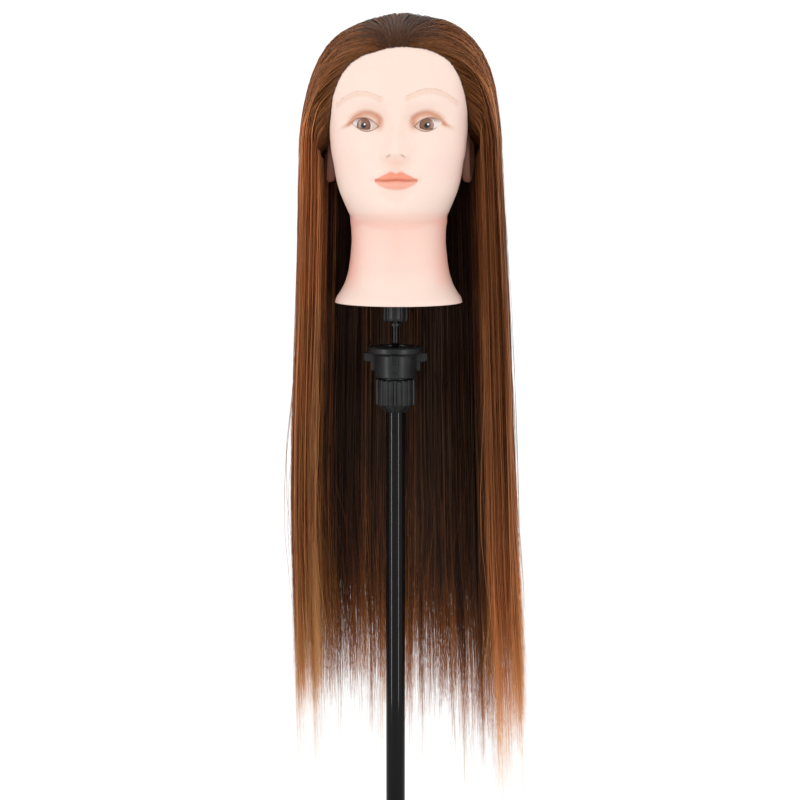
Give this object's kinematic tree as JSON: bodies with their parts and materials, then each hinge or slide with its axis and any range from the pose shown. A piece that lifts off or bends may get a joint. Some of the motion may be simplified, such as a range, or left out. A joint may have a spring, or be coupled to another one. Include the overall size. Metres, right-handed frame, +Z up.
{
  "type": "mannequin training head",
  "caption": "Mannequin training head with long straight hair on a tilting, swivelling holder and a telescoping stand with folding tripod legs.",
  "frame": {"origin": "middle of the three feet's footprint box, on the floor", "axes": "+Z up along the mast, -Y the way the face looks, +X the head's left side"},
  "size_m": [0.5826, 0.5088, 1.248],
  "materials": {
    "gloss_black_tube": "gloss",
    "black_plastic": "satin",
    "grey_plastic": "matte",
    "black_rubber": "matte",
    "bright_steel": "satin",
    "skin_vinyl": "satin",
    "core_foam": "matte",
    "eye_plastic": "gloss",
    "hair_fibre": "satin"
  },
  "bodies": {
    "stand": {"lower_tube": "gloss_black_tube", "end_cap": "black_rubber", "leg_hub": "black_plastic", "hub_screw": "bright_steel", "clamp_collar": "black_plastic", "leg_pin_1": "bright_steel", "leg_pin_2": "bright_steel", "leg_pin_3": "bright_steel"},
    "knob": {"clamp_knob": "black_plastic", "clamp_stud": "bright_steel"},
    "leg_1": {"leg_tube_1": "gloss_black_tube", "leg_knuckle_1": "black_plastic", "foot_1": "black_rubber"},
    "leg_2": {"leg_tube_2": "gloss_black_tube", "leg_knuckle_2": "black_plastic", "foot_2": "black_rubber"},
    "leg_3": {"leg_tube_3": "gloss_black_tube", "leg_knuckle_3": "black_plastic", "foot_3": "black_rubber"},
    "mast": {"upper_tube": "gloss_black_tube", "tube_plug": "black_plastic", "collet": "black_plastic"},
    "nut": {"fluted_nut": "black_plastic"},
    "swivel": {"swivel_cup": "black_plastic", "slot_cap": "black_plastic", "tilt_pin": "bright_steel"},
    "lock_ring": {"lug_ring": "black_plastic"},
    "head": {"tilt_barrel": "black_plastic", "plug_rod": "gloss_black_tube", "rod_collar": "black_plastic", "neck_plug": "black_plastic", "neck_socket": "grey_plastic", "neck_base_plate": "grey_plastic", "foam_core": "core_foam", "head_skin": "skin_vinyl", "eye_left": "eye_plastic", "eye_right": "eye_plastic", "hair_cap": "hair_fibre", "hair_back": "hair_fibre", "hair_left": "hair_fibre", "hair_right": "hair_fibre"}
  },
  "joints": [
    {"name": "leg_1_fold", "type": "hinge", "parent": "stand", "child": "leg_1", "pos_m": [0, -0.04557, 0.29], "axis": [-1, 0, 0], "range_deg": [0, 43]},
    {"name": "leg_2_fold", "type": "hinge", "parent": "stand", "child": "leg_2", "pos_m": [-0.02944, -0.09657, 0.29], "axis": [0.5, -0.866, 0], "range_deg": [0, 43]},
    {"name": "leg_3_fold", "type": "hinge", "parent": "stand", "child": "leg_3", "pos_m": [0.02944, -0.09657, 0.29], "axis": [0.5, 0.866, 0], "range_deg": [0, 43]},
    {"name": "knob_turn", "type": "hinge", "parent": "stand", "child": "knob", "pos_m": [0, -0.12157, 0.42], "axis": [0, -1, 0], "range_deg": [0, 360]},
    {"name": "mast_slide", "type": "slide", "parent": "stand", "child": "mast", "axis": [0, 0, 1], "range_m": [-0.12, 0.15]},
    {"name": "nut_turn", "type": "hinge", "parent": "mast", "child": "nut", "pos_m": [0, -0.07957, 0.87], "axis": [0, 0, 1], "range_deg": [0, 180]},
    {"name": "head_swivel", "type": "hinge", "parent": "mast", "child": "swivel", "pos_m": [0, -0.07957, 0.9], "axis": [0, 0, 1], "continuous": true},
    {"name": "ring_turn", "type": "hinge", "parent": "swivel", "child": "lock_ring", "pos_m": [0, -0.07957, 0.9], "axis": [0, 0, 1], "range_deg": [0, 90]},
    {"name": "head_tilt", "type": "hinge", "parent": "swivel", "child": "head", "pos_m": [0, -0.07957, 0.9], "axis": [1, 0, 0], "range_deg": [-20, 20], "deforming": ["hair_back", "hair_left", "hair_right"]}
  ]
}
